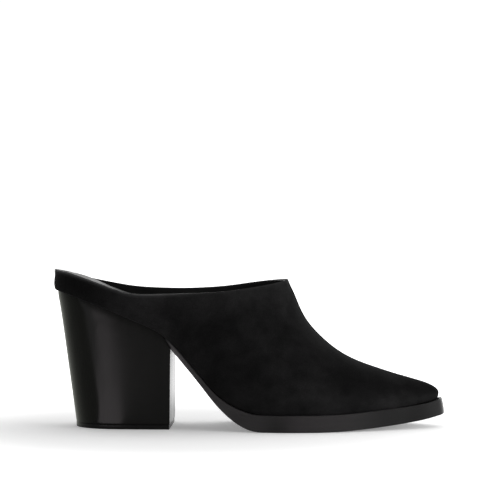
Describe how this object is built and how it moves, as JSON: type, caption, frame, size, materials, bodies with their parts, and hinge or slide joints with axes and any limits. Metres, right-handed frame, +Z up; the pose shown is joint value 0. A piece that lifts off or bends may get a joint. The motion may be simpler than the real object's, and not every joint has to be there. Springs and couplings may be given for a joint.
{
  "type": "mule shoe",
  "caption": "Backless heeled mule for the right foot, with a snip toe, a hollow suede upper, a thin-waisted sole and a tall block heel",
  "frame": {"origin": "middle of the heel's base, where the top lift meets the floor", "axes": "+X towards the toe, +Y towards the inner side of the foot, +Z up"},
  "size_m": [0.2359, 0.0896, 0.0948],
  "materials": {
    "suede": "black suede with a short nap, matt",
    "insole_leather": "smooth black lining leather, satin",
    "outsole": "smooth black sole with a dressed edge, semi-gloss",
    "heel_stack": "polished black heel block",
    "top_lift": "hard black top piece, satin"
  },
  "bodies": {
    "root": {"upper": "suede", "insole": "insole_leather", "outsole": "outsole", "heel": "heel_stack", "top_lift": "top_lift"}
  },
  "joints": []
}
